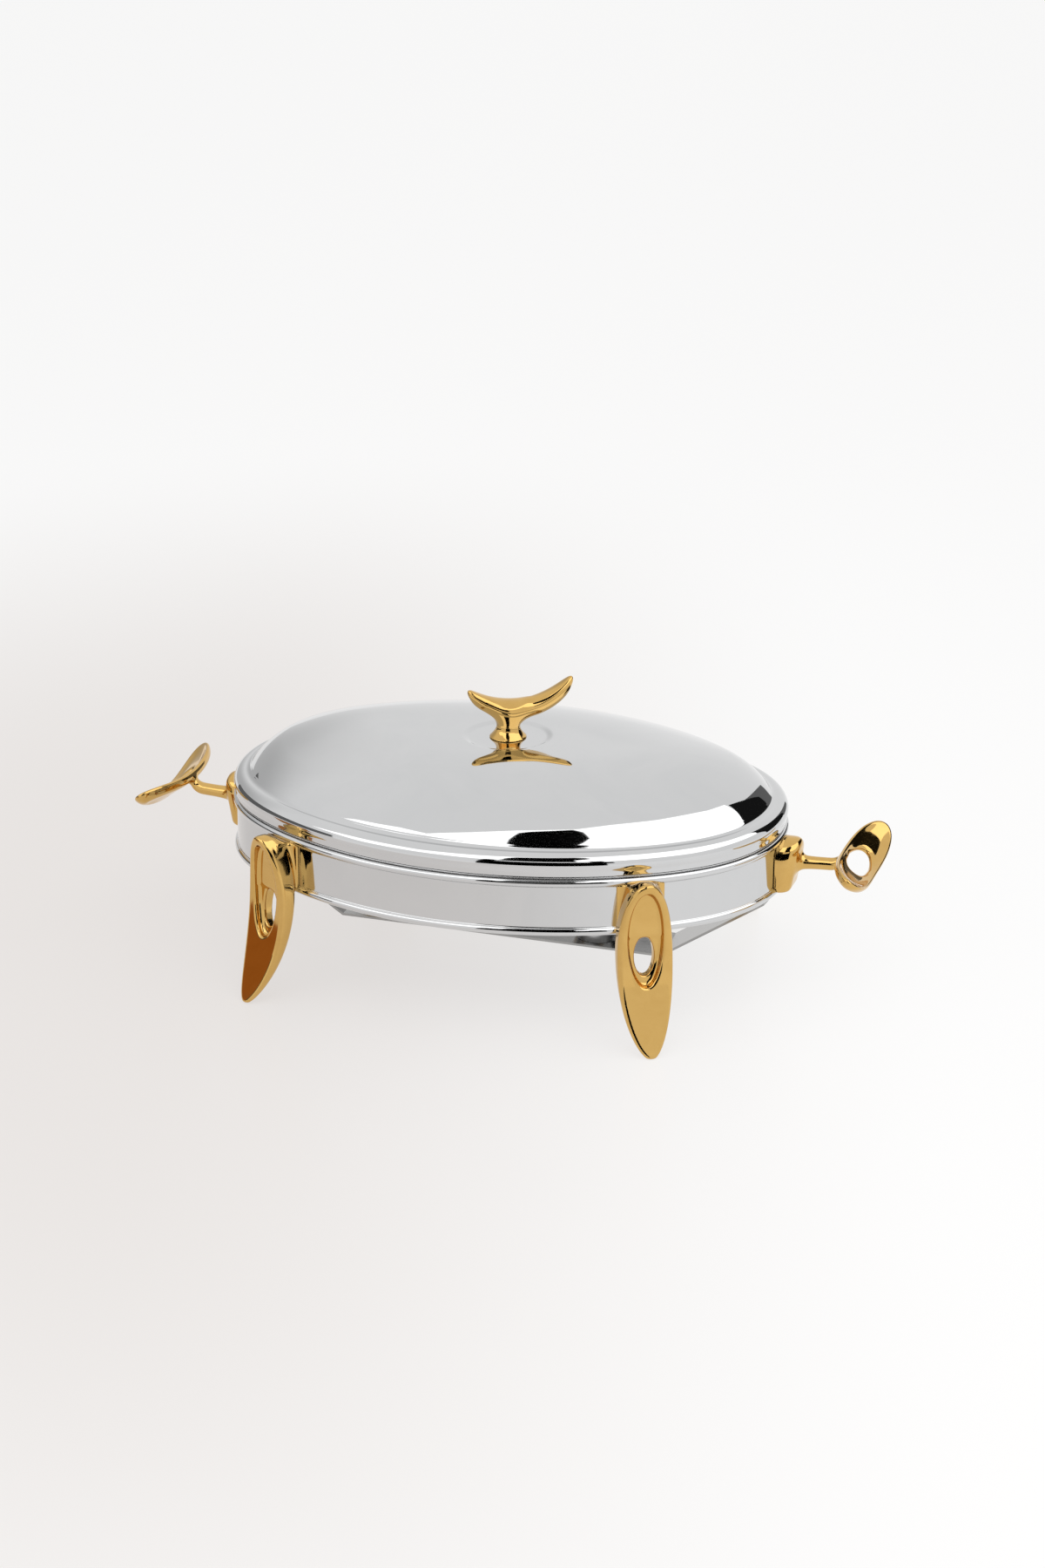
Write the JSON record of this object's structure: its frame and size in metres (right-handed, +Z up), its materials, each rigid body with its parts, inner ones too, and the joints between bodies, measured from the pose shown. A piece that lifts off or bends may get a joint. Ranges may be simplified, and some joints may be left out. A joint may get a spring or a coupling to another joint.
{
  "type": "chafing dish food warmer",
  "caption": "Oval lidded food warmer: a domed lid with a crescent knob over a pan hung in a beaded band on leaf-shaped legs, with end handles and a burner strap with candle cups.",
  "frame": {"origin": "on the table under the middle of the oval", "axes": "+X along the oval's long axis towards the right handle, +Y towards the rear, +Z up"},
  "size_m": [0.4736, 0.252, 0.1849],
  "materials": {
    "polished_steel": "mirror-polished stainless steel",
    "satin_steel": "satin stainless steel",
    "gold_casting": "polished gold plating on a casting",
    "fastener_steel": "plain steel"
  },
  "bodies": {
    "stand": {"stand_band": "polished_steel", "leg_front_left": "gold_casting", "leg_front_right": "gold_casting", "leg_rear_left": "gold_casting", "leg_rear_right": "gold_casting", "leg_screws": "fastener_steel", "leg_washers": "fastener_steel", "handle_left": "gold_casting", "handle_right": "gold_casting", "handle_screws": "fastener_steel", "handle_washers": "fastener_steel", "burner_strap": "polished_steel", "burner_cup_left": "satin_steel", "burner_cup_right": "satin_steel", "burner_rivets": "fastener_steel"},
    "pan": {"food_pan": "satin_steel"},
    "lid": {"lid_shell": "polished_steel", "lid_knob": "gold_casting", "knob_screw": "fastener_steel", "knob_washer": "fastener_steel"}
  },
  "joints": [
    {"name": "pan_lift", "type": "slide", "parent": "stand", "child": "pan", "axis": [0, 0, 1], "range_m": [0, 0.1]},
    {"name": "lid_lift", "type": "slide", "parent": "pan", "child": "lid", "axis": [0, 0, 1], "range_m": [0, 0.1]}
  ]
}
